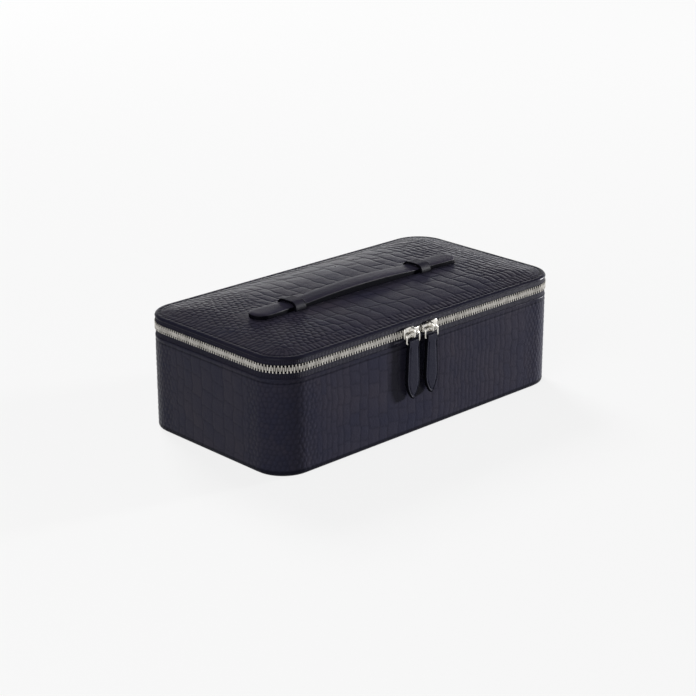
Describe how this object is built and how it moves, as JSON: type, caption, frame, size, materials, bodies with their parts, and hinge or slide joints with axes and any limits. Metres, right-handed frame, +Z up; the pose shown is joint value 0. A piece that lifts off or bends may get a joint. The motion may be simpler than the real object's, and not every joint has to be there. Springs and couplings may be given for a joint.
{
  "type": "leather jewellery case",
  "caption": "Low oblong leather jewellery case with rounded corners, a zip round the lid, leather pull tabs, a flat strap handle in keepers, and a lined inside with ring rolls.",
  "frame": {"origin": "middle of the underside, on the surface the case stands on", "axes": "+X to the right along the length, +Y to the back where the hinge is, +Z up"},
  "size_m": [0.2414, 0.1308, 0.0795],
  "materials": {
    "croc_leather": "embossed, satin",
    "smooth_leather": "smooth, satin",
    "lining": "suede",
    "board": "matte",
    "foam": "matte",
    "zip_tape": "woven",
    "zip_metal": "polished"
  },
  "bodies": {
    "case_base": {"base_bottom_leather": "smooth_leather", "base_bottom_board": "board", "base_wall_board": "board", "base_wall_leather": "croc_leather", "base_floor_lining": "lining", "base_wall_lining": "lining", "lower_zip_tape": "zip_tape", "lower_zip_teeth": "zip_metal", "hinge_leather": "smooth_leather", "hinge_lining": "lining", "ring_bed": "lining", "divider_cross": "lining", "divider_long": "lining", "divider_rear": "lining", "ring_roll_1": "lining", "ring_roll_2": "lining", "ring_roll_3": "lining", "ring_roll_4": "lining"},
    "lid": {"upper_zip_tape": "zip_tape", "upper_zip_teeth": "zip_metal", "lid_lining": "lining", "lid_board": "board", "lid_leather": "croc_leather", "lid_padding": "foam", "handle_keeper_left": "smooth_leather", "handle_keeper_right": "smooth_leather"},
    "handle": {"handle_grip": "smooth_leather", "handle_flex_left": "smooth_leather", "handle_flex_right": "smooth_leather"},
    "handle_end_left": {"handle_tab_left": "smooth_leather"},
    "handle_end_right": {"handle_tab_right": "smooth_leather"},
    "zip_slider_left": {"slider_left": "zip_metal"},
    "zip_slider_right": {"slider_right": "zip_metal"},
    "pull_left": {"pull_ring_left": "zip_metal", "pull_tab_left": "smooth_leather"},
    "pull_right": {"pull_ring_right": "zip_metal", "pull_tab_right": "smooth_leather"}
  },
  "joints": [
    {"name": "lid_hinge", "type": "hinge", "parent": "case_base", "child": "lid", "pos_m": [0, 0.0644, 0.0665], "axis": [-1, 0, 0], "range_deg": [0, 100], "deforming": ["hinge_leather", "hinge_lining"]},
    {"name": "slider_left_slide", "type": "slide", "parent": "case_base", "child": "zip_slider_left", "axis": [1, 0, 0], "range_m": [-0.077, 0]},
    {"name": "slider_right_slide", "type": "slide", "parent": "case_base", "child": "zip_slider_right", "axis": [1, 0, 0], "range_m": [0, 0.093]},
    {"name": "pull_left_swing", "type": "hinge", "parent": "zip_slider_left", "child": "pull_left", "pos_m": [-0.0161, -0.06555, 0.0665], "axis": [-1, 0, 0], "range_deg": [0, 110]},
    {"name": "pull_right_swing", "type": "hinge", "parent": "zip_slider_right", "child": "pull_right", "pos_m": [-0.0003, -0.06555, 0.0665], "axis": [-1, 0, 0], "range_deg": [0, 110]},
    {"name": "handle_lift", "type": "slide", "parent": "lid", "child": "handle", "axis": [0, 0, 1], "range_m": [0, 0.009], "deforming": ["handle_flex_left", "handle_flex_right"]},
    {"name": "handle_end_left_slide", "type": "slide", "parent": "handle", "child": "handle_end_left", "axis": [0.3714, 0, -0.9285], "range_m": [0, 0.0097]},
    {"name": "handle_end_right_slide", "type": "slide", "parent": "handle", "child": "handle_end_right", "axis": [-0.3714, 0, -0.9285], "range_m": [0, 0.0097]}
  ],
  "couplings": [
    {"joint": "handle_end_left_slide", "follows": "handle_lift", "ratio": 1.077},
    {"joint": "handle_end_right_slide", "follows": "handle_lift", "ratio": 1.077}
  ]
}
